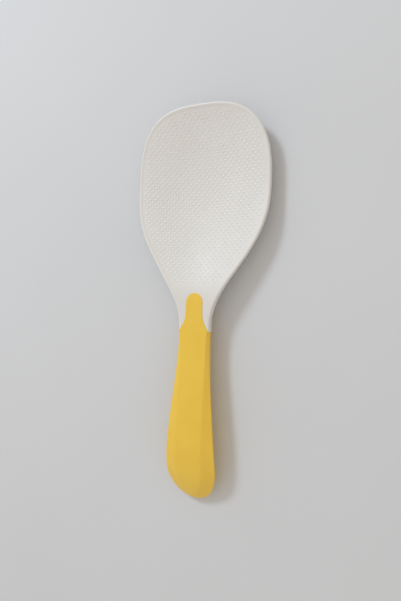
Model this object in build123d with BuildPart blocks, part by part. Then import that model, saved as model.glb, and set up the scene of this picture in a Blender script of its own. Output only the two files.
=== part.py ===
from build123d import *
import os
from math import cos, hypot, pi, sin

os.makedirs("parts", exist_ok=True)

# Rice paddle in two pieces: a stiff blade whose tang runs down the handle, and a soft grip moulded
# round that tang. It lies on its back with the hollow of the head up. All sizes are millimetres.
# +Y points to the tip of the head, +Z up, X = 0 is the plane of symmetry, and Z = 0 is the table.

# Whole paddle
length = 204.1

# Head outline, with its stations measured back from the tip
head_width = 73.4
widest_from_tip = 41.4
neck_width = 17.3
neck_from_tip = 111.0
tip_roundness_power = 2.83
waist_power = 1.24

# Dish of the head: the belly touches the table, and the tip, the neck and the sides rise from it
head_thickness = 2.8
belly_from_tip = 45.4
tip_rise = 9.1
even_rise_behind_belly = 48.5
neck_rise = 8.9
neck_fall = 0.5
neck_blend_power = 6.0
side_rise = 5.2
side_easing_share = 0.36
hollow_end_from_tip = 84.6
flat_tip_share = 0.8

# Neck
neck_thickness = 4.0
neck_thick_from_tip = 105.0
neck_thin_from_tip = 75.0

# Rim bead round the face of the head
rim_width = 1.7
rim_height = 0.2
rim_rounding = 1.1
rim_rounding_limit_share = 0.45
field_end_from_tip = 95.0

# Tongue of the grip, let into both sides of the neck, with its lengths measured from the collar
tongue_width = 9.8
tongue_length = 19.9
tongue_flare_length = 11.5
tongue_foot_width = 16.0
tongue_depth = 0.8
tongue_proud = 0.25

# Grip, from its collar at the neck to the round end
collar_from_tip = 114.5
collar_width = 17.6
collar_thickness = 6.4
collar_bevel = 1.5
collar_wall_share = 0.35
collar_heel_share = 0.75
collar_fade = 32.0
bulb_width = 28.4
bulb_thickness = 14.6
bulb_bevel = 2.5
bulb_from_end = 10.6
bulb_ridge_from_end = 37.5
rest_from_end = 26.0
flat_width = 14.3
flat_taper_power = 2
end_length = 20.6
end_level = 3.2
end_roundness_power = 2.1
end_drop_power = 2.35
end_cut_share = 0.997
side_wall_share = 0.12
side_draft_share = 0.97
heel_share = 0.45
corner_share = 0.42
flat_corner_share = 0.12

# Tang inside the grip, with windows that the grip flows through
skin = 2.2
skin_side_share = 0.6
skin_flat_share = 0.5
tang_overlap = 3.0
tang_from_end = 12.0
window_width = 5.0
window_length = 12.0
window_count = 3
window_pitch = 21.0
first_window_from_collar = 16.0

# One overrun for every cut and trim
overrun = 10.0

tip_y = length / 2
end_y = -length / 2
widest_y = tip_y - widest_from_tip
belly_y = tip_y - belly_from_tip
neck_y = tip_y - neck_from_tip
hollow_end_y = tip_y - hollow_end_from_tip
field_end_y = tip_y - field_end_from_tip
collar_y = tip_y - collar_from_tip
bulb_y = end_y + bulb_from_end
bulb_ridge_y = end_y + bulb_ridge_from_end
rest_y = end_y + rest_from_end
end_start_y = end_y + end_length
collar_level = head_thickness + neck_rise - neck_fall + tongue_proud
collar_back = collar_level - collar_thickness


def clamp(value):
    return min(max(value, 0), 1)


def ease(value):
    """Rise from 0 to 1 with level ends."""
    value = clamp(value)
    return value * value * (3 - 2 * value)


def outline_half_width(y):
    """Superellipse from the tip to the widest station, then half a stretched cosine to the neck."""
    if y > widest_y:
        reach = clamp((y - widest_y) / widest_from_tip)
        return head_width / 2 * (1 - reach**tip_roundness_power) ** (1 / tip_roundness_power)
    reach = clamp((widest_y - y) / (widest_y - neck_y))
    swell = (1 + cos(pi * reach**waist_power)) / 2
    return neck_width / 2 + (head_width - neck_width) / 2 * swell


def face_level(x, y):
    """Height of the hollow face: a parabola along Y that runs into the neck, plus a rise across.

    The neck falls a little towards the collar. The rise across is a parabola that eases off sideways.
    """
    if y > belly_y:
        lift = tip_rise * ((y - belly_y) / belly_from_tip) ** 2
    else:
        climb = tip_rise * ((belly_y - y) / even_rise_behind_belly) ** 2
        lift = climb / (1 + (climb / neck_rise) ** neck_blend_power) ** (1 / neck_blend_power)
        lift -= neck_fall * ease((hollow_end_y - y) / (hollow_end_y - collar_y))
    if y > hollow_end_y:
        hollow = 1 - flat_tip_share * ((y - hollow_end_y) / hollow_end_from_tip) ** 2
    else:
        hollow = 1 - clamp((hollow_end_y - y) / (hollow_end_y - collar_y)) ** 2
    widest_hollow = 1 - flat_tip_share * ((widest_y - hollow_end_y) / hollow_end_from_tip) ** 2
    reach = (x / (head_width / 2)) ** 2
    eased = reach * (1 - side_easing_share * reach) / (1 - side_easing_share)
    return head_thickness + lift + side_rise * hollow / widest_hollow * eased


def blade_thickness(y):
    """Thickness under the face, which grows from the head to the neck."""
    from_tip = tip_y - y
    growth = ease((from_tip - neck_thin_from_tip) / (neck_thick_from_tip - neck_thin_from_tip))
    return head_thickness + (neck_thickness - head_thickness) * growth


def back_level(x, y):
    """Height of the back of the blade."""
    return face_level(x, y) - blade_thickness(y)


def sheet(level, shift):
    """One smooth face through a grid of heights, reaching past the outline on every side."""
    low_x, low_y = -head_width / 2 - overrun / 2, collar_y - overrun / 2
    step_x = (head_width + overrun) / sheet_columns
    step_y = (tip_y - collar_y + overrun) / sheet_rows
    grid = []
    for row in range(sheet_rows + 1):
        y = low_y + row * step_y
        xs = [low_x + column * step_x for column in range(sheet_columns + 1)]
        grid.append([(x, y, level(x, y) + shift) for x in xs])
    return Face.make_surface_from_array_of_points(grid, tol=head_thickness * sheet_tolerance_share)


sheet_columns = 12
sheet_rows = 30
sheet_tolerance_share = 0.01
outline_steps = 12
tall = tip_rise + side_rise + neck_rise + bulb_thickness

face_sheet = sheet(face_level, 0)
back_sheet = sheet(back_level, 0)
field_sheet = sheet(face_level, -rim_height)
tongue_floor_sheet = sheet(face_level, -tongue_depth)
tongue_top_sheet = sheet(face_level, tongue_proud)
back_tongue_floor_sheet = sheet(back_level, tongue_depth)
back_tongue_top_sheet = sheet(back_level, -tongue_proud)


def head_points(inset):
    """Superellipse from the tip to the widest station, drawn in by the inset."""
    points = []
    for step in range(outline_steps + 1):
        turn = pi / 2 * step / outline_steps
        out = sin(turn) ** (2 / tip_roundness_power)
        along = cos(turn) ** (2 / tip_roundness_power)
        points.append(((head_width / 2 - inset) * out, widest_y + (widest_from_tip - inset) * along))
    return points


def waist_points(inset, last_y):
    """Side of the head from the widest station down to the last one, drawn in by the inset."""
    ys = [widest_y - (widest_y - last_y) * step / outline_steps for step in range(outline_steps + 1)]
    return [(outline_half_width(y) - inset, y) for y in ys]


# Plan outline of the right half of the head and neck
with BuildSketch(Plane.XY.offset(-tall)) as blade_outline:
    with BuildLine():
        Spline(*head_points(0), tangents=[(1, 0), (0, -1)])
        Spline(*waist_points(0, collar_y), tangents=[(0, -1), (0, -1)])
        Line((outline_half_width(collar_y), collar_y), (0, collar_y))
        Line((0, collar_y), (0, tip_y))
    make_face()

# Field inside the rim bead
with BuildSketch(Plane.XY.offset(-tall)) as field_outline:
    with BuildLine():
        sides = waist_points(rim_width, field_end_y)
        Spline(*head_points(rim_width), tangents=[(1, 0), (0, -1)])
        Spline(*sides)
        Line(sides[-1], (0, field_end_y))
        Line((0, field_end_y), (0, tip_y - rim_width))
    make_face()
    mirror(about=Plane.YZ)

with BuildPart() as field_cutter:
    extrude(field_sheet, amount=tall, dir=(0, 0, 1))
    extrude(field_outline.sketch, amount=3 * tall, mode=Mode.INTERSECT)

# Plan outline of the tongue: a round tip, near straight sides and a flared foot
with BuildSketch(Plane.XY.offset(-tall)) as tongue_outline:
    with BuildLine():
        tongue_tip_y = collar_y + tongue_length
        tongue_side_y = collar_y + tongue_flare_length
        round_y = tongue_tip_y - tongue_width / 2
        ThreePointArc(
            (0, tongue_tip_y),
            (tongue_width / 2 * sin(pi / 4), round_y + tongue_width / 2 * sin(pi / 4)),
            (tongue_width / 2, round_y),
        )
        Line((tongue_width / 2, round_y), (tongue_width / 2, tongue_side_y))
        Spline(
            (tongue_width / 2, tongue_side_y),
            (tongue_foot_width / 2, collar_y),
            tangents=[(0, -1), (tongue_foot_width - tongue_width, collar_y - tongue_side_y)],
        )
        Line((tongue_foot_width / 2, collar_y), (0, collar_y))
        Line((0, collar_y), (0, tongue_tip_y))
    make_face()
    mirror(about=Plane.YZ)

with BuildPart() as front_tongue:
    extrude(tongue_top_sheet, amount=tall, dir=(0, 0, -1))
    extrude(tongue_floor_sheet, amount=tall, dir=(0, 0, 1), mode=Mode.INTERSECT)
    extrude(tongue_outline.sketch, amount=3 * tall, mode=Mode.INTERSECT)

with BuildPart() as back_tongue:
    extrude(back_tongue_top_sheet, amount=tall, dir=(0, 0, 1))
    extrude(back_tongue_floor_sheet, amount=tall, dir=(0, 0, -1), mode=Mode.INTERSECT)
    extrude(tongue_outline.sketch, amount=3 * tall, mode=Mode.INTERSECT)


def end_taper(y):
    """Quarter of a superellipse that closes the round end of the grip."""
    reach = clamp((end_start_y - y) / end_length) * end_cut_share
    return (1 - reach**end_roundness_power) ** (1 / end_roundness_power)


def grip_corners(y, inset):
    """Right-hand corners of the grip's section at one station, from the front flat to the heel.

    With an inset they are the corners of the tang, which lies inside the grip by that skin. Near the
    collar the side wall is deeper and the heel wider, so that the section covers the end of the neck.
    """
    taper = end_taper(y)
    swell = ease((collar_y - y) / (collar_y - bulb_y))
    rise = ease((collar_y - y) / (collar_y - bulb_ridge_y))
    settle = ease((collar_y - y) / (collar_y - rest_y))
    droop = clamp((bulb_ridge_y - y) / (bulb_ridge_y - end_y)) ** end_drop_power
    half = (collar_width / 2 + (bulb_width - collar_width) / 2 * swell) * taper
    flat_half = flat_width / 2 * taper**flat_taper_power
    bevel = collar_bevel + (bulb_bevel - collar_bevel) * swell
    fade = ease((collar_y - y) / collar_fade)
    wall = collar_wall_share + (side_wall_share - collar_wall_share) * fade
    heel = collar_heel_share + (heel_share - collar_heel_share) * fade
    collar_ridge = collar_level - collar_bevel
    bulb_ridge = bulb_thickness - bulb_bevel
    ridge = collar_ridge + (bulb_ridge - collar_ridge) * rise - (bulb_ridge - end_level) * droop
    front = ridge + bevel * taper
    shoulder = ridge - inset * skin_side_share
    back = collar_back * (1 - settle) + end_level * (1 - taper) + inset
    return [
        (flat_half - inset * skin_flat_share, front - inset),
        (half - inset, shoulder),
        (half * side_draft_share - inset, shoulder - (shoulder - back) * wall),
        (half * heel - inset, back),
    ]


def grip_section(y, inset):
    """Closed section across the grip or tang. A curve rounds each corner, tightly beside the flat."""
    right = grip_corners(y, inset)
    corners = right + [(-x, z) for x, z in reversed(right)]
    count = len(corners)
    reach = []
    for index in range(count):
        (x0, z0), (x1, z1) = corners[index], corners[(index + 1) % count]
        reach.append(hypot(x1 - x0, z1 - z0))
    with BuildSketch(Plane.XZ.offset(-y)) as section:
        with BuildLine():
            arcs = []
            for index in range(count):
                corner = Vector(*corners[index])
                before = Vector(*corners[index - 1]) - corner
                after = Vector(*corners[(index + 1) % count]) - corner
                share = flat_corner_share if index in (0, count - 1) else corner_share
                cut = share * min(reach[index - 1], reach[index])
                start = corner + before.normalized() * cut
                finish = corner + after.normalized() * cut
                Bezier(start, corner, finish)
                arcs.append((start, finish))
            for index in range(count):
                Line(arcs[index][1], arcs[(index + 1) % count][0])
        make_face()
    return section.sketch


grip_steps = 8
end_steps = 9
grip_stations = [collar_y - (collar_y - end_start_y) * step / grip_steps for step in range(grip_steps)]
end_stations = [end_start_y - end_length * sin(pi / 2 * step / end_steps) for step in range(end_steps)]
grip_stations += end_stations + [end_y]

tang_end_y = end_y + tang_from_end
tang_steps = 7
tang_start_y = collar_y + tang_overlap
tang_length = tang_start_y - tang_end_y
tang_stations = [tang_start_y - tang_length * step / tang_steps for step in range(tang_steps + 1)]

# Blade: dished head with its rim bead, neck let in for the tongues, and the tang with its windows
with BuildPart() as blade:
    extrude(face_sheet, amount=tall, dir=(0, 0, -1))
    extrude(back_sheet, amount=tall, dir=(0, 0, 1), mode=Mode.INTERSECT, clean=False)
    extrude(blade_outline.sketch, amount=3 * tall, mode=Mode.INTERSECT, clean=False)
    rim_edges = blade.edges().sort_by(SortBy.LENGTH)[-2:]
    fillet(rim_edges, radius=min(rim_rounding, rim_rounding_limit_share * head_thickness))
    mirror(about=Plane.YZ)
    add(field_cutter.part, mode=Mode.SUBTRACT)
    add(front_tongue.part, mode=Mode.SUBTRACT)
    add(back_tongue.part, mode=Mode.SUBTRACT)
    loft([grip_section(y, skin) for y in tang_stations])
    with BuildSketch(Plane.XY.offset(-tall)) as windows:
        for step in range(window_count):
            y = collar_y - first_window_from_collar - step * window_pitch
            with Locations((0, y)):
                SlotOverall(window_length, window_width, rotation=90)
    extrude(windows.sketch, amount=3 * tall, mode=Mode.SUBTRACT)
blade.part.label = "blade"
export_step(blade.part, "parts/blade.step")

# Grip: soft skin with a flat front, bevels and a rounded back, plus the two tongues
with BuildPart() as grip:
    loft([grip_section(y, 0) for y in grip_stations])
    add(front_tongue.part)
    add(back_tongue.part)
    add(blade.part, mode=Mode.SUBTRACT)
grip.part.label = "grip"
export_step(grip.part, "parts/grip.step")

for piece in (blade, grip):
    box = piece.part.bounding_box()
    print(piece.part.label, len(piece.part.solids()), round(piece.part.volume, 1), box.min, box.max)
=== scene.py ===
"""Rice paddle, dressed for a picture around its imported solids.

The paddle lies on its back with the hollow of the head up: +Y points to the tip of the head, +Z up,
and X = 0 is the plane of symmetry. The blade and the grip are surfaces of two parameters that follow
the same formulas as their solids, with the bead round the rim, the dots and the soft edges added.
Every size is in metres.
"""

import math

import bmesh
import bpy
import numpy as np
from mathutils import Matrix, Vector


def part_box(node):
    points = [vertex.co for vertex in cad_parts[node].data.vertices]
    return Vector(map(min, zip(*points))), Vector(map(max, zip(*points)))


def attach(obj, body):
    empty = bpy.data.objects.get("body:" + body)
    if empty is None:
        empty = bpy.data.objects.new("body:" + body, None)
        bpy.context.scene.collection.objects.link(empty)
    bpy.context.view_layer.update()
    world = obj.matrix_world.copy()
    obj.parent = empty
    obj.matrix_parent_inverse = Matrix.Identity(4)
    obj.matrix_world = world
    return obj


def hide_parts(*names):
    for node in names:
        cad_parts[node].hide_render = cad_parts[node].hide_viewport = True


bl_info = {
    "name": "Rice Paddle",
    "version": (1, 0, 0),
    "blender": (4, 5, 0),
    "location": "3D View > Sidebar > Paddle",
    "description": "Dished, dotted blade with a soft grip, on a pale floor in soft light",
    "category": "Object",
}

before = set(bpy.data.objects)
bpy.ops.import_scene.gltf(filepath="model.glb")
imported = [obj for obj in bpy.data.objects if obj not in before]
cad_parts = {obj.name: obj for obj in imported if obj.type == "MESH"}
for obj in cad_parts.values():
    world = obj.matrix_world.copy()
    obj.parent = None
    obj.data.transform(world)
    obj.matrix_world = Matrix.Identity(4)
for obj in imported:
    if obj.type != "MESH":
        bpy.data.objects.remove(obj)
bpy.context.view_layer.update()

MM = 0.001

# Whole paddle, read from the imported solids
blade_low, blade_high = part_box("blade")
grip_low, grip_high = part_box("grip")
TIP_Y = blade_high.y
END_Y = grip_low.y
HEAD_WIDTH = blade_high.x - blade_low.x

# Head outline
WIDEST_FROM_TIP = 41.4 * MM
NECK_WIDTH = 17.3 * MM
NECK_FROM_TIP = 111.0 * MM
TIP_ROUNDNESS_POWER = 2.83
WAIST_POWER = 1.24
WIDEST_Y = TIP_Y - WIDEST_FROM_TIP
NECK_Y = TIP_Y - NECK_FROM_TIP

# Dish of the head
HEAD_THICKNESS = 2.8 * MM
BELLY_FROM_TIP = 45.4 * MM
TIP_RISE = 9.1 * MM
EVEN_RISE_BEHIND_BELLY = 48.5 * MM
NECK_RISE = 8.9 * MM
NECK_FALL = 0.5 * MM
NECK_BLEND_POWER = 6.0
SIDE_RISE = 5.2 * MM
SIDE_EASING_SHARE = 0.36
HOLLOW_END_FROM_TIP = 84.6 * MM
FLAT_TIP_SHARE = 0.8
BELLY_Y = TIP_Y - BELLY_FROM_TIP
HOLLOW_END_Y = TIP_Y - HOLLOW_END_FROM_TIP

# Neck
NECK_THICKNESS = 4.0 * MM
NECK_THICK_FROM_TIP = 105.0 * MM
NECK_THIN_FROM_TIP = 75.0 * MM

# Recessed field, which runs out before the tongue
FIELD_FADE_FROM_TIP = 86.0 * MM
FIELD_END_FROM_TIP = 95.0 * MM
BEAD_SLOPE = 1.6 * MM

# Dots
DOTS_END_FROM_TIP = 90.0 * MM
DOT_BORDER = 3.2 * MM
DOT_ROOT = 0.015 * MM
FIRST_ROW_FROM_TIP = 44.1 * MM

# Tongue of the grip
TONGUE_WIDTH = 9.8 * MM
TONGUE_FROM_TIP = 94.6 * MM
TONGUE_FLARE_FROM_TIP = 103.0 * MM
TONGUE_FLARE_POWER = 2.45
TONGUE_PROUD = 0.25 * MM
TONGUE_ROUNDING = 0.5 * MM

# Grip
COLLAR_FROM_TIP = 114.5 * MM
COLLAR_WIDTH = 17.6 * MM
COLLAR_THICKNESS = 6.4 * MM
COLLAR_BEVEL = 1.5 * MM
COLLAR_WALL_SHARE = 0.35
COLLAR_HEEL_SHARE = 0.75
COLLAR_FADE = 32.0 * MM
COLLAR_STEP = 1.6 * MM
BULB_WIDTH = 28.4 * MM
BULB_THICKNESS = 14.6 * MM
BULB_BEVEL = 2.5 * MM
BULB_FROM_END = 10.6 * MM
BULB_RIDGE_FROM_END = 37.5 * MM
REST_FROM_END = 26.0 * MM
FLAT_WIDTH = 14.3 * MM
FLAT_TAPER_POWER = 2
END_LENGTH = 20.6 * MM
END_LEVEL = 3.2 * MM
END_ROUNDNESS_POWER = 2.1
END_DROP_POWER = 2.35
SIDE_WALL_SHARE = 0.12
SIDE_DRAFT_SHARE = 0.97
HEEL_SHARE = 0.45
CORNER_SHARE = 0.42
FLAT_CORNER_SHARE = 0.12
COLLAR_Y = TIP_Y - COLLAR_FROM_TIP
COLLAR_LEVEL = HEAD_THICKNESS + NECK_RISE - NECK_FALL + TONGUE_PROUD
COLLAR_BACK = COLLAR_LEVEL - COLLAR_THICKNESS
BULB_Y = END_Y + BULB_FROM_END
BULB_RIDGE_Y = END_Y + BULB_RIDGE_FROM_END
REST_Y = END_Y + REST_FROM_END
END_START_Y = END_Y + END_LENGTH

# How far the neck runs on under the grip, and the share of its last loop that its end face starts at
NECK_OVERLAP = 0.05 * MM
NECK_END_SHARE = 0.96

# Camera at the photograph's viewing angle, and the picture's long side in pixels
PICTURE_HEIGHT = 601
FOCAL_PIXELS = 434.0
CAMERA_PLACE = Vector((93.81, 11.81, 210.81)) * MM
CAMERA_FORWARD = Vector((-0.4122, -0.0379, -0.9103))
CAMERA_UP = Vector((-0.0440, 0.9988, -0.0217))
SENSOR = 36.0

# Edges that turn by more than this stay crisp, and points closer than this are one
CRISP_ANGLE = math.radians(50)
MERGE_DISTANCE = 0.0005 * MM

# How finely the surfaces are divided
OUTLINE_POINTS = 280
FINE_POINTS = 3000
BORDER_POINTS = 600
FACE_COLUMNS = 65
FLAT_COLUMNS = 21
DOT_SEGMENTS = 8
LATTICE_REACH = 60

# Main light: the way it lies, how far off, and its colour; and the colour of the even light
KEY_DIRECTION = Vector((-0.55, 0.72, 0.75))
KEY_DISTANCE = 1.1
KEY_COLOUR = "#E4F1FF"
EVEN_COLOUR = "#FFF9F3"


def srgb(code):
    """Linear red, green and blue, with alpha 1, of an sRGB hex value."""
    values = [int(code[i : i + 2], 16) / 255 for i in (1, 3, 5)]
    linear = [v / 12.92 if v <= 0.04045 else ((v + 0.055) / 1.055) ** 2.4 for v in values]
    return (*linear, 1.0)


def length_property(name, description, default):
    """A size in metres for the sidebar."""
    return bpy.props.FloatProperty(
        name=name, description=description, default=default, min=0.0, precision=5, unit="LENGTH"
    )


def colour_property(name, description, default):
    """A colour for the sidebar, given as an sRGB hex value."""
    return bpy.props.FloatVectorProperty(
        name=name, description=description, default=srgb(default), size=4, min=0.0, max=1.0, subtype="COLOR"
    )


class PaddleBlade(bpy.types.PropertyGroup):
    """Rim and dots of the blade."""

    rim_width: length_property("Rim width", "Width of the bead round the face", 1.7 * MM)
    rim_height: length_property("Rim height", "Height of the bead over the face", 0.2 * MM)
    rim_rounding: length_property("Rim rounding", "Radius of the rim's outer edges", 1.1 * MM)
    dot_row_step: length_property("Dot row step", "Distance from one row of dots to the next", 1.5 * MM)
    dot_diameter: length_property("Dot diameter", "Width of one dot at its foot", 1.5 * MM)
    dot_height: length_property("Dot height", "Height of one dot over the face", 0.15 * MM)
    colour: colour_property("Colour", "Milky white of the moulded polypropylene", "#E4E1DB")


class PaddleGrip(bpy.types.PropertyGroup):
    """Colour of the grip."""

    colour: colour_property("Colour", "Warm yellow of the elastomer", "#F3CB47")


class PaddleStudio(bpy.types.PropertyGroup):
    """Floor and light."""

    floor_size: length_property("Floor size", "Length of each side of the floor", 6.0)
    floor_colour: colour_property("Floor colour", "Colour of the matt floor", "#D8D9DA")
    key_power: bpy.props.FloatProperty(
        name="Key power", description="Power of the main light", default=5.0, min=0.0, unit="POWER"
    )
    key_size: length_property("Key size", "Length of each side of the main light", 0.22)
    fill_strength: bpy.props.FloatProperty(
        name="Fill strength", description="Strength of the even light from all round", default=0.66, min=0.0
    )


class PaddleSettings(bpy.types.PropertyGroup):
    """All settings of the paddle and its stage."""

    blade: bpy.props.PointerProperty(type=PaddleBlade)
    grip: bpy.props.PointerProperty(type=PaddleGrip)
    studio: bpy.props.PointerProperty(type=PaddleStudio)


def ease(value):
    """Cubic that rises from 0 to 1 with level ends."""
    value = np.clip(value, 0, 1)
    return value * value * (3 - 2 * value)


def outline_half_width(y):
    """Superellipse from the tip to the widest station, then half a stretched cosine to the neck."""
    reach = np.clip((y - WIDEST_Y) / WIDEST_FROM_TIP, 0, 1)
    head = HEAD_WIDTH / 2 * (1 - reach**TIP_ROUNDNESS_POWER) ** (1 / TIP_ROUNDNESS_POWER)
    reach = np.clip((WIDEST_Y - y) / (WIDEST_Y - NECK_Y), 0, 1)
    swell = (1 + np.cos(np.pi * reach**WAIST_POWER)) / 2
    waist = NECK_WIDTH / 2 + (HEAD_WIDTH - NECK_WIDTH) / 2 * swell
    return np.where(y > WIDEST_Y, head, waist)


def face_level(x, y):
    """Height of the hollow face: a parabola along Y that runs into the neck, plus a rise across.

    The neck falls a little towards the collar. The rise across is a parabola that eases off sideways.
    """
    rise = TIP_RISE * ((y - BELLY_Y) / BELLY_FROM_TIP) ** 2
    climb = TIP_RISE * ((BELLY_Y - y) / EVEN_RISE_BEHIND_BELLY) ** 2
    blended = climb / (1 + (climb / NECK_RISE) ** NECK_BLEND_POWER) ** (1 / NECK_BLEND_POWER)
    fall = NECK_FALL * ease((HOLLOW_END_Y - y) / (HOLLOW_END_Y - COLLAR_Y))
    lift = np.where(y > BELLY_Y, rise, blended - fall)
    towards_tip = 1 - FLAT_TIP_SHARE * ((y - HOLLOW_END_Y) / HOLLOW_END_FROM_TIP) ** 2
    towards_neck = 1 - np.clip((HOLLOW_END_Y - y) / (HOLLOW_END_Y - COLLAR_Y), 0, 1) ** 2
    hollow = np.where(y > HOLLOW_END_Y, towards_tip, towards_neck)
    widest_hollow = 1 - FLAT_TIP_SHARE * ((WIDEST_Y - HOLLOW_END_Y) / HOLLOW_END_FROM_TIP) ** 2
    reach = (x / (HEAD_WIDTH / 2)) ** 2
    eased = reach * (1 - SIDE_EASING_SHARE * reach) / (1 - SIDE_EASING_SHARE)
    return HEAD_THICKNESS + lift + SIDE_RISE * hollow / widest_hollow * eased


def blade_thickness(y):
    """Thickness under the face, which eases from the head's to the neck's."""
    growth = (TIP_Y - y - NECK_THIN_FROM_TIP) / (NECK_THICK_FROM_TIP - NECK_THIN_FROM_TIP)
    return HEAD_THICKNESS + (NECK_THICKNESS - HEAD_THICKNESS) * ease(growth)


def field_depth(y, depth):
    """Depth of the recess inside the bead, which eases to nothing at the end of the field."""
    return depth * ease((FIELD_END_FROM_TIP - (TIP_Y - y)) / (FIELD_END_FROM_TIP - FIELD_FADE_FROM_TIP))


def blade_outline(count):
    """Evenly spaced points down the right side of the outline, from the tip, with outward normals.

    The head is a superellipse swept by its angle and the waist a function of Y. The points are spread
    by distance along the line, and the normal is the line's direction turned by a quarter.
    """
    turn = np.linspace(0, np.pi / 2, FINE_POINTS)
    head_x = HEAD_WIDTH / 2 * np.sin(turn) ** (2 / TIP_ROUNDNESS_POWER)
    head_y = WIDEST_Y + WIDEST_FROM_TIP * np.cos(turn) ** (2 / TIP_ROUNDNESS_POWER)
    waist_y = np.linspace(WIDEST_Y, COLLAR_Y - NECK_OVERLAP, FINE_POINTS)[1:]
    x = np.concatenate([head_x, outline_half_width(waist_y)])
    y = np.concatenate([head_y, waist_y])
    travelled = np.concatenate([[0], np.cumsum(np.hypot(np.diff(x), np.diff(y)))])
    even = np.linspace(0, travelled[-1], count)
    x, y = np.interp(even, travelled, x), np.interp(even, travelled, y)
    along_x, along_y = np.gradient(x), np.gradient(y)
    size = np.hypot(along_x, along_y)
    out_x, out_y = -along_y / size, along_x / size
    out_x[0], out_y[0] = 0, 1
    return x, y, out_x, out_y


def blade_loop(settings):
    """Closed loop across the blade: over the face, round the right rim, along the back, round the left.

    Each point has a side from -1 to 1, an inset from the outline, a share of the thickness and a drop
    under the face. The rim's edges are quarter circles. Sunk is 1 on the recessed face and -1 on the
    recessed back, and eases to 0 on the bead.
    """
    radius = settings.rim_rounding
    field_inset = settings.rim_width + BEAD_SLOPE / 2
    slope = np.linspace(field_inset, radius, 9)[1:-1]
    quarter = np.linspace(0, np.pi / 2, 8)
    wall = np.linspace(0, 1, 4)[1:-1]
    upper = np.column_stack([
        np.concatenate([slope, radius * (1 - np.sin(quarter))]),
        np.zeros(slope.size + quarter.size),
        np.concatenate([np.zeros(slope.size), radius * (1 - np.cos(quarter))]),
        np.concatenate([ease((slope - field_inset + BEAD_SLOPE) / BEAD_SLOPE), np.zeros(quarter.size)]),
    ])
    middle = np.column_stack([0 * wall, wall, radius * (1 - 2 * wall), 0 * wall])
    lower = upper[::-1] * [1, 0, -1, -1] + [0, 1, 0, 0]
    rim = np.concatenate([upper, middle, lower])
    across = np.linspace(-1, 1, FACE_COLUMNS)
    face = np.tile([field_inset, 0, 0, 1], (across.size, 1))
    back = np.tile([field_inset, 1, 0, -1], (across.size, 1))
    loop = np.concatenate([face, rim, back, rim[::-1]])
    side = np.concatenate([across, np.ones(len(rim)), -across, -np.ones(len(rim))])
    return side, *loop.T


def blade_points(settings):
    """Grid of points over the blade: one loop for each point of the outline.

    A point lies its inset inside the outline along the normal, its side sets how far across it is, and
    its height is the face's, less its share of the thickness, its drop and the recess.
    """
    x, y, out_x, out_y = (values[:, None] for values in blade_outline(OUTLINE_POINTS))
    side, inset, share, drop, sunk = blade_loop(settings)
    place_x = side * (x - inset * out_x)
    place_y = y - inset * out_y
    depth = np.where(sunk > 0, settings.rim_height, settings.dot_height)
    recess = sunk * field_depth(place_y, depth)
    place_z = face_level(place_x, place_y) - share * blade_thickness(place_y) - drop - recess
    points = np.stack([place_x, place_y, place_z], axis=-1)
    return np.concatenate([points, end_rings(points[-1])])


def end_rings(ring):
    """Two more rings that close the surface: one drawn in a little and one shrunk to the middle."""
    middle = ring.mean(axis=0)
    return np.stack([middle + (ring - middle) * share for share in (NECK_END_SHARE, 0)])


def dot_centres(settings):
    """Centres of a diagonal lattice of dots: rows one step apart, each shifted by a step from the last.

    Only the dots at least the border inside the outline, and before the end of the pattern, are kept.
    """
    step = settings.dot_row_step
    rows = np.arange(-LATTICE_REACH, LATTICE_REACH + 1)
    across, along = np.meshgrid(rows, rows)
    even = (across + along) % 2 == 1
    x = across[even] * step
    y = TIP_Y - FIRST_ROW_FROM_TIP - along[even] * step
    inside = (TIP_Y - y < DOTS_END_FROM_TIP) & (np.abs(x) < outline_half_width(y))
    x, y = x[inside], y[inside]
    edge_x, edge_y, _, _ = blade_outline(BORDER_POINTS)
    clear = np.hypot(np.abs(x)[:, None] - edge_x, y[:, None] - edge_y).min(axis=1)
    return x[clear > DOT_BORDER], y[clear > DOT_BORDER]


def dot_points(settings, front):
    """Points of all dots on one side: for each dot a foot, four rings of a shallow bell, and its top.

    A ring's height is (1 - rr)(1 - rr) of the dot's, with r its share of the radius, over the recessed
    face or back of the blade. The first ring and the foot lie a little inside the blade, so that each
    dot is a closed lens.
    """
    x, y = dot_centres(settings)
    turn = np.arange(DOT_SEGMENTS) * 2 * np.pi / DOT_SEGMENTS
    reach = np.array([1.0, 0.72, 0.46, 0.22])
    ring_x = (reach[:, None] * np.cos(turn)).ravel()
    ring_y = (reach[:, None] * np.sin(turn)).ravel()
    radius = settings.dot_diameter / 2
    local_x = radius * np.concatenate([[0], ring_x, [0]])
    local_y = radius * np.concatenate([[0], ring_y, [0]])
    cap = settings.dot_height * (1 - np.repeat(reach, DOT_SEGMENTS) ** 2) ** 2
    cap[:DOT_SEGMENTS] = -DOT_ROOT
    height = np.concatenate([[-2 * DOT_ROOT], cap, [settings.dot_height]])
    place_x = x[:, None] + local_x
    place_y = y[:, None] + local_y
    if front:
        place_z = face_level(place_x, place_y) - field_depth(place_y, settings.rim_height) + height
    else:
        back = face_level(place_x, place_y) - blade_thickness(place_y)
        place_z = back + field_depth(place_y, settings.dot_height) - height
    return np.stack([place_x, place_y, place_z], axis=-1)


def tongue_half_width(y):
    """Half width of the tongue below its round tip: straight, then a power of Y up to the collar."""
    start = TIP_Y - TONGUE_FLARE_FROM_TIP
    reach = np.clip((start - y) / (start - COLLAR_Y), 0, 1)
    return TONGUE_WIDTH / 2 + (COLLAR_WIDTH - TONGUE_WIDTH) / 2 * reach**TONGUE_FLARE_POWER


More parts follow.
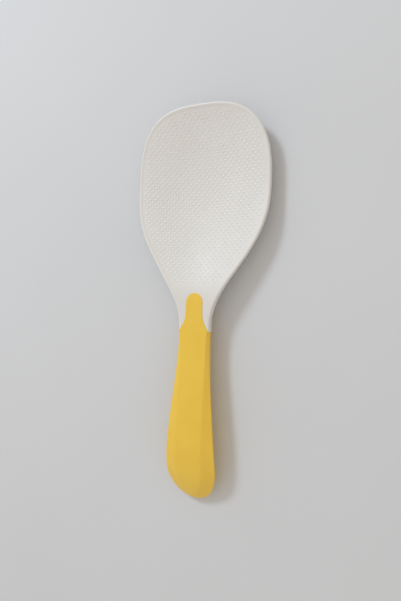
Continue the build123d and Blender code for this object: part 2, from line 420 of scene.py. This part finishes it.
def grip_stations():
    """Half width, Y and outward normal of each station, from the tip of the tongue to the round end.

    The tongue's tip is a half circle. Below it the half width is a function of Y, and the round end is
    spread by the angle of its superellipse.
    """
    radius = TONGUE_WIDTH / 2
    tongue_tip_y = TIP_Y - TONGUE_FROM_TIP
    turn = np.linspace(0, np.pi / 2, 14)[:-1]
    round_x, round_y = radius * np.sin(turn), tongue_tip_y - radius * (1 - np.cos(turn))
    tongue_y = np.linspace(tongue_tip_y - radius, COLLAR_Y, 60)[:-1]
    handle_y = np.linspace(COLLAR_Y, END_START_Y, 120)[:-1]
    turn_end = np.linspace(0, np.pi / 2, 50)
    end_y = END_START_Y - END_LENGTH * np.sin(turn_end) ** (2 / END_ROUNDNESS_POWER)
    y = np.concatenate([round_y, tongue_y, handle_y, end_y])
    taper = np.concatenate([
        np.ones(y.size - turn_end.size), np.cos(turn_end) ** (2 / END_ROUNDNESS_POWER)
    ])
    taper[-1] = 0
    swell = ease((COLLAR_Y - y) / (COLLAR_Y - BULB_Y))
    handle_x = (COLLAR_WIDTH / 2 + (BULB_WIDTH - COLLAR_WIDTH) / 2 * swell) * taper
    x = np.where(y > COLLAR_Y, tongue_half_width(y), handle_x)
    x[: turn.size] = round_x
    out_y = np.zeros(y.size)
    out_y[: turn.size] = np.cos(turn)
    return x, y, np.sqrt(1 - out_y**2), out_y, taper, swell


def grip_profile():
    """Right-hand profile of each station as inset and height, from the front flat to the heel.

    Four corners are joined by straight runs and each is rounded by a parabola. In the tongue they are
    the edges of a plate through the neck, and at the collar they ease into the grip's own corners.
    """
    x, y, out_x, out_y, taper, swell = grip_stations()
    rise = ease((COLLAR_Y - y) / (COLLAR_Y - BULB_RIDGE_Y))
    settle = ease((COLLAR_Y - y) / (COLLAR_Y - REST_Y))
    droop = np.clip((BULB_RIDGE_Y - y) / (BULB_RIDGE_Y - END_Y), 0, 1) ** END_DROP_POWER
    bevel = COLLAR_BEVEL + (BULB_BEVEL - COLLAR_BEVEL) * swell
    fade = ease((COLLAR_Y - y) / COLLAR_FADE)
    wall = COLLAR_WALL_SHARE + (SIDE_WALL_SHARE - COLLAR_WALL_SHARE) * fade
    heel = COLLAR_HEEL_SHARE + (HEEL_SHARE - COLLAR_HEEL_SHARE) * fade
    collar_ridge = COLLAR_LEVEL - COLLAR_BEVEL
    bulb_ridge = BULB_THICKNESS - BULB_BEVEL
    ridge = collar_ridge + (bulb_ridge - collar_ridge) * rise - (bulb_ridge - END_LEVEL) * droop
    front = ridge + bevel * taper
    back = COLLAR_BACK * (1 - settle) + END_LEVEL * (1 - taper)
    side = ridge - (ridge - back) * wall
    handle = np.stack([
        np.stack([x - FLAT_WIDTH / 2 * taper**FLAT_TAPER_POWER, front], axis=-1),
        np.stack([0 * x, ridge], axis=-1),
        np.stack([x * (1 - SIDE_DRAFT_SHARE), side], axis=-1),
        np.stack([x * (1 - heel), back], axis=-1),
    ], axis=1)

    top = face_level(0, y) + TONGUE_PROUD
    bottom = face_level(0, y) - blade_thickness(y) - TONGUE_PROUD
    edge = TONGUE_ROUNDING + 0 * y
    tongue = np.stack([
        np.stack([edge, top], axis=-1),
        np.stack([0 * y, top - edge], axis=-1),
        np.stack([0 * y, bottom + edge], axis=-1),
        np.stack([edge, bottom], axis=-1),
    ], axis=1)

    runs = np.linalg.norm(np.diff(handle, axis=1), axis=-1)
    flat_run, heel_run = FLAT_WIDTH * taper**FLAT_TAPER_POWER, 2 * heel * x
    lengths = np.column_stack([flat_run, runs, heel_run])
    shares = np.array([FLAT_CORNER_SHARE, CORNER_SHARE, CORNER_SHARE, CORNER_SHARE])
    handle_cut = shares * np.minimum(lengths[:, :-1], lengths[:, 1:])
    tongue_cut = CORNER_SHARE * TONGUE_ROUNDING * math.sqrt(2)

    grown = ease((COLLAR_Y + COLLAR_STEP / 2 - y) / COLLAR_STEP)
    corners = tongue + (handle - tongue) * grown[:, None, None]
    cut = tongue_cut + (handle_cut - tongue_cut) * grown[:, None]
    return x, y, out_x, out_y, rounded(corners, cut)


def rounded(corners, cut):
    """Profile through the corners, each replaced by a parabola that starts and ends its cut away.

    The parabola is the blend (1-t)(1-t)A + 2t(1-t)B + ttC, with B the corner. Straight runs between two
    parabolas get points of their own. The first run comes from, and the last one goes to, the middle.
    """
    inward = np.broadcast_to([1.0, 0.0], corners[:, :1].shape)
    steps = np.diff(corners, axis=1)
    length = np.linalg.norm(steps, axis=-1, keepdims=True)
    ahead = np.concatenate([steps / np.maximum(length, 1e-9), inward], axis=1)
    behind = np.concatenate([inward, -ahead[:, :-1]], axis=1)
    start = corners + behind * cut[..., None]
    finish = corners + ahead * cut[..., None]
    t = np.linspace(0, 1, 9)[:, None]
    pieces = []
    for index in range(corners.shape[1]):
        a, b, c = (values[:, index, None] for values in (start, corners, finish))
        pieces.append((1 - t) ** 2 * a + 2 * t * (1 - t) * b + t**2 * c)
        if index + 1 < corners.shape[1]:
            run = np.linspace(0, 1, 7)[1:-1, None]
            pieces.append(c + (start[:, index + 1, None] - c) * run)
    return np.concatenate(pieces, axis=1)


def grip_points():
    """Grid of points over the grip: one closed loop for each station.

    A loop runs over the front, down the right profile, along the back and up the left one. A point
    lies its inset inside the half width along the normal, and in the tongue it follows the dish across.
    """
    x, y, out_x, out_y, profile = grip_profile()
    across = np.linspace(-1, 1, FLAT_COLUMNS)[1:-1]
    front = np.broadcast_to(profile[:, :1], (x.size, across.size, 2))
    back = np.broadcast_to(profile[:, -1:], (x.size, across.size, 2))
    loop = np.concatenate([front, profile, back, profile[:, ::-1]], axis=1)
    inset, level = loop[..., 0], loop[..., 1]
    right = np.ones(profile.shape[1])
    side = np.concatenate([across, right, -across, -right])
    place_x = side * (x[:, None] - inset * out_x[:, None])
    place_y = y[:, None] - inset * out_y[:, None]
    place_z = level + face_level(place_x, place_y) - face_level(0, place_y)
    return np.stack([place_x, place_y, place_z], axis=-1)


def ring_faces(stations, around):
    """Four-sided faces between neighbouring rings of a grid, turned so that they face outwards."""
    index = np.arange(stations * around).reshape(stations, around)
    beside = np.roll(index, -1, axis=1)
    return np.stack([index[:-1], index[1:], beside[1:], beside[:-1]], axis=-1).reshape(-1, 4)


def mesh_object(name, points, faces, material):
    """Mesh object, smooth but for its crisp edges. Doubles are merged, which closes seams and poles."""
    mesh = bpy.data.meshes.new(name)
    mesh.from_pydata(points.reshape(-1, 3).tolist(), [], faces)
    shape = bmesh.new()
    shape.from_mesh(mesh)
    bmesh.ops.remove_doubles(shape, verts=shape.verts, dist=MERGE_DISTANCE)
    bmesh.ops.recalc_face_normals(shape, faces=shape.faces)
    shape.to_mesh(mesh)
    shape.free()
    mesh.polygons.foreach_set("use_smooth", np.ones(len(mesh.polygons), bool))
    mesh.set_sharp_from_angle(angle=CRISP_ANGLE)
    mesh.update()
    mesh.materials.append(material)
    piece = bpy.data.objects.new(name, mesh)
    bpy.context.scene.collection.objects.link(piece)
    return piece


def add_node(tree, kind, inputs=(), **options):
    """Adds a node, sets its options, and sets each named input to a value or links it to a socket."""
    node = tree.nodes.new(kind)
    for name, value in options.items():
        setattr(node, name, value)
    for key, value in dict(inputs).items():
        if isinstance(value, bpy.types.NodeSocket):
            tree.links.new(value, node.inputs[key])
        else:
            node.inputs[key].default_value = value
    return node


def new_material(name):
    """Empty material with its output node and the object's own coordinates."""
    material = bpy.data.materials.get(name) or bpy.data.materials.new(name)
    material.use_nodes = True
    tree = material.node_tree
    tree.nodes.clear()
    place = add_node(tree, "ShaderNodeTexCoord").outputs["Object"]
    return material, tree, place


def noise(tree, place, feature, detail=2.0):
    """Noise whose features are about the given real size."""
    inputs = {"Vector": place, "Scale": 1 / feature, "Detail": detail}
    return add_node(tree, "ShaderNodeTexNoise", inputs).outputs["Fac"]


def spread(tree, value, low, high):
    """The middle of a noise stretched to run from low to high."""
    inputs = {"Value": value, "From Min": 0.3, "From Max": 0.7, "To Min": low, "To Max": high}
    return add_node(tree, "ShaderNodeMapRange", inputs).outputs["Result"]


def blend_colours(tree, factor, first, second):
    """A colour between two others."""
    node = add_node(tree, "ShaderNodeMix", data_type="RGBA")
    tree.links.new(factor, node.inputs["Factor"])
    node.inputs[6].default_value = first
    node.inputs[7].default_value = second
    return node.outputs[2]


def white_polypropylene(settings, name="white_polypropylene", milkiness=0.25):
    """Injection-moulded natural white polypropylene: satin, milky at its thin edges, faintly uneven."""
    material, tree, place = new_material(name)
    warm = settings.colour[:]
    cool = (*[value * 0.97 for value in warm[:3]], 1.0)
    flow = spread(tree, noise(tree, place, 22 * MM), 0, 1)
    colour = blend_colours(tree, flow, warm, cool)
    roughness = spread(tree, noise(tree, place, 6 * MM, 3.0), 0.35, 0.43)
    # The mould's fine eroded texture is about 0.05 mm and is drawn at 0.35 mm so that it shows
    grain = add_node(tree, "ShaderNodeBump", {
        "Height": noise(tree, place, 0.35 * MM, 1.0), "Strength": 0.12, "Distance": 0.03 * MM
    }).outputs["Normal"]
    surface = add_node(tree, "ShaderNodeBsdfPrincipled", {
        "Base Color": colour, "Roughness": roughness, "IOR": 1.49, "Normal": grain,
        "Subsurface Weight": milkiness, "Subsurface Radius": (1.0, 0.9, 0.8), "Subsurface Scale": 1.2 * MM,
    })
    add_node(tree, "ShaderNodeOutputMaterial", {"Surface": surface.outputs["BSDF"]})
    return material


def yellow_elastomer(settings):
    """Overmoulded thermoplastic elastomer: matt and dry to the touch, with a soft bloom on its edges."""
    material, tree, place = new_material("yellow_elastomer")
    bright = settings.colour[:]
    deep = (*[value * share for value, share in zip(bright[:3], (0.97, 0.94, 0.88))], 1.0)
    flow = spread(tree, noise(tree, place, 16 * MM), 0, 1)
    colour = blend_colours(tree, flow, bright, deep)
    roughness = spread(tree, noise(tree, place, 4 * MM, 3.0), 0.52, 0.62)
    # The skin's fine grain is about 0.08 mm and is drawn at 0.4 mm so that it shows
    grain = add_node(tree, "ShaderNodeBump", {
        "Height": noise(tree, place, 0.4 * MM, 1.0), "Strength": 0.2, "Distance": 0.03 * MM
    }).outputs["Normal"]
    surface = add_node(tree, "ShaderNodeBsdfPrincipled", {
        "Base Color": colour, "Roughness": roughness, "IOR": 1.5, "Normal": grain,
        "Subsurface Weight": 0.15, "Subsurface Radius": (1.0, 0.6, 0.2), "Subsurface Scale": 1.0 * MM,
        "Sheen Weight": 0.1, "Sheen Roughness": 0.5,
    })
    add_node(tree, "ShaderNodeOutputMaterial", {"Surface": surface.outputs["BSDF"]})
    return material


def matt_floor_paint(settings):
    """Pale matt paint: flat, with a barely uneven tone."""
    material, tree, place = new_material("matt_floor_paint")
    pale = settings.floor_colour[:]
    shade = (*[value * 0.98 for value in pale[:3]], 1.0)
    colour = blend_colours(tree, spread(tree, noise(tree, place, 90 * MM), 0, 1), pale, shade)
    surface = add_node(tree, "ShaderNodeBsdfPrincipled", {
        "Base Color": colour, "Roughness": 0.9, "Specular IOR Level": 0.2
    })
    add_node(tree, "ShaderNodeOutputMaterial", {"Surface": surface.outputs["BSDF"]})
    return material


class PADDLE_OT_blade(bpy.types.Operator):
    """Make the dished blade with its bead and neck."""

    bl_idname = "paddle.blade"
    bl_label = "Blade"

    def execute(self, context):
        settings = context.scene.paddle.blade
        if settings.rim_rounding * 2 > HEAD_THICKNESS:
            raise ValueError("the rim's rounding is more than half the head's thickness")
        points = blade_points(settings)
        faces = ring_faces(*points.shape[:2]).tolist()
        piece = mesh_object("blade_moulding", points, faces, white_polypropylene(settings))
        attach(piece, "root")
        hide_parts("blade")
        return {"FINISHED"}


class PADDLE_OT_dots(bpy.types.Operator):
    """Make the dots on the face and the back of the head."""

    bl_idname = "paddle.dots"
    bl_label = "Dots"

    def execute(self, context):
        settings = context.scene.paddle.blade
        if settings.dot_diameter > settings.dot_row_step * math.sqrt(2):
            raise ValueError("the dots are wider than the space between their centres")
        material = white_polypropylene(settings, "white_polypropylene_dots", 0)
        for name, front in (("face_dots", True), ("back_dots", False)):
            points = dot_points(settings, front)
            faces = dot_faces(*points.shape[:2])
            piece = mesh_object(name, points, faces, material)
            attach(piece, "root")
            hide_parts("blade")
        return {"FINISHED"}


def dot_faces(count, corners):
    """Faces of every dot: a fan under it, three bands of its cap and a fan at its top."""
    turn = np.arange(DOT_SEGMENTS)
    beside = (turn + 1) % DOT_SEGMENTS
    rings = np.arange(1, corners - 1, DOT_SEGMENTS)
    fans = [
        np.column_stack([0 * turn, rings[0] + beside, rings[0] + turn]),
        np.column_stack([0 * turn + corners - 1, rings[-1] + turn, rings[-1] + beside]),
    ]
    bands = [
        np.column_stack([low + turn, low + beside, high + beside, high + turn])
        for low, high in zip(rings[:-1], rings[1:])
    ]
    first = corners * np.arange(count)[:, None, None]
    faces = []
    for part in fans + bands:
        faces += (part + first).reshape(-1, part.shape[1]).tolist()
    return faces


class PADDLE_OT_grip(bpy.types.Operator):
    """Make the soft grip with its tongue."""

    bl_idname = "paddle.grip"
    bl_label = "Grip"

    def execute(self, context):
        points = grip_points()
        faces = ring_faces(*points.shape[:2]).tolist()
        piece = mesh_object("soft_grip", points, faces, yellow_elastomer(context.scene.paddle.grip))
        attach(piece, "root")
        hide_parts("grip")
        return {"FINISHED"}


class PADDLE_OT_stage(bpy.types.Operator):
    """Make the floor, the light and the camera."""

    bl_idname = "paddle.stage"
    bl_label = "Stage"

    def execute(self, context):
        settings = context.scene.paddle.studio
        half = settings.floor_size / 2
        corners = np.array([(-half, -half, 0), (half, -half, 0), (half, half, 0), (-half, half, 0)])
        floor = mesh_object("floor", corners, [(0, 1, 2, 3)], matt_floor_paint(settings))
        add_key_light(context.scene, settings)
        add_even_light(context.scene, settings)
        add_camera(context.scene)
        return {"FINISHED"}


def add_key_light(scene, settings):
    """Square soft light, high on the left and towards the tip, that faces the paddle."""
    towards = KEY_DIRECTION.normalized()
    lamp = bpy.data.lights.new("key_light", "AREA")
    lamp.energy = settings.key_power
    lamp.size = settings.key_size
    lamp.color = srgb(KEY_COLOUR)[:3]
    key = bpy.data.objects.new("key_light", lamp)
    key.location = towards * KEY_DISTANCE
    key.rotation_mode = "QUATERNION"
    key.rotation_quaternion = towards.to_track_quat("Z", "Y")
    scene.collection.objects.link(key)


def add_even_light(scene, settings):
    """Pale even light from all round, which fills the shadows."""
    world = bpy.data.worlds.new("even_light")
    world.use_nodes = True
    world.node_tree.nodes.clear()
    light = add_node(world.node_tree, "ShaderNodeBackground", {
        "Color": srgb(EVEN_COLOUR), "Strength": settings.fill_strength
    })
    add_node(world.node_tree, "ShaderNodeOutputWorld", {"Surface": light.outputs["Background"]})
    scene.world = world


def add_camera(scene):
    """Camera whose place, direction and lens are the photograph's, shown without a film curve."""
    lens = bpy.data.cameras.new("camera")
    lens.sensor_width = SENSOR
    lens.lens = FOCAL_PIXELS / PICTURE_HEIGHT * SENSOR
    lens.clip_start = 0.01
    camera = bpy.data.objects.new("camera", lens)
    forward = CAMERA_FORWARD.normalized()
    right = forward.cross(CAMERA_UP).normalized()
    up = right.cross(forward)
    turned = Matrix((right, up, -forward)).transposed().to_4x4()
    camera.matrix_world = Matrix.Translation(CAMERA_PLACE) @ turned
    scene.collection.objects.link(camera)
    scene.camera = camera
    scene.view_settings.view_transform = "Standard"


class PADDLE_PT_sidebar(bpy.types.Panel):
    """Sizes, colours and one button for each piece."""

    bl_label = "Rice Paddle"
    bl_idname = "PADDLE_PT_sidebar"
    bl_space_type = "VIEW_3D"
    bl_region_type = "UI"
    bl_category = "Paddle"

    def draw(self, context):
        settings = context.scene.paddle
        for group in (settings.blade, settings.grip, settings.studio):
            box = self.layout.box()
            for name in group.bl_rna.properties.keys():
                if name not in ("rna_type", "name"):
                    box.prop(group, name)
        for operator in OPERATORS:
            self.layout.operator(operator.bl_idname)


OPERATORS = (PADDLE_OT_stage, PADDLE_OT_blade, PADDLE_OT_dots, PADDLE_OT_grip)
CLASSES = (PaddleBlade, PaddleGrip, PaddleStudio, PaddleSettings, *OPERATORS, PADDLE_PT_sidebar)


def register():
    for item in CLASSES:
        bpy.utils.register_class(item)
    bpy.types.Scene.paddle = bpy.props.PointerProperty(type=PaddleSettings)


def unregister():
    del bpy.types.Scene.paddle
    for item in reversed(CLASSES):
        bpy.utils.unregister_class(item)


def main():
    """Makes the stage and every piece."""
    register()
    bpy.ops.paddle.stage()
    bpy.ops.paddle.blade()
    bpy.ops.paddle.dots()
    bpy.ops.paddle.grip()


if __name__ == "__main__":
    main()
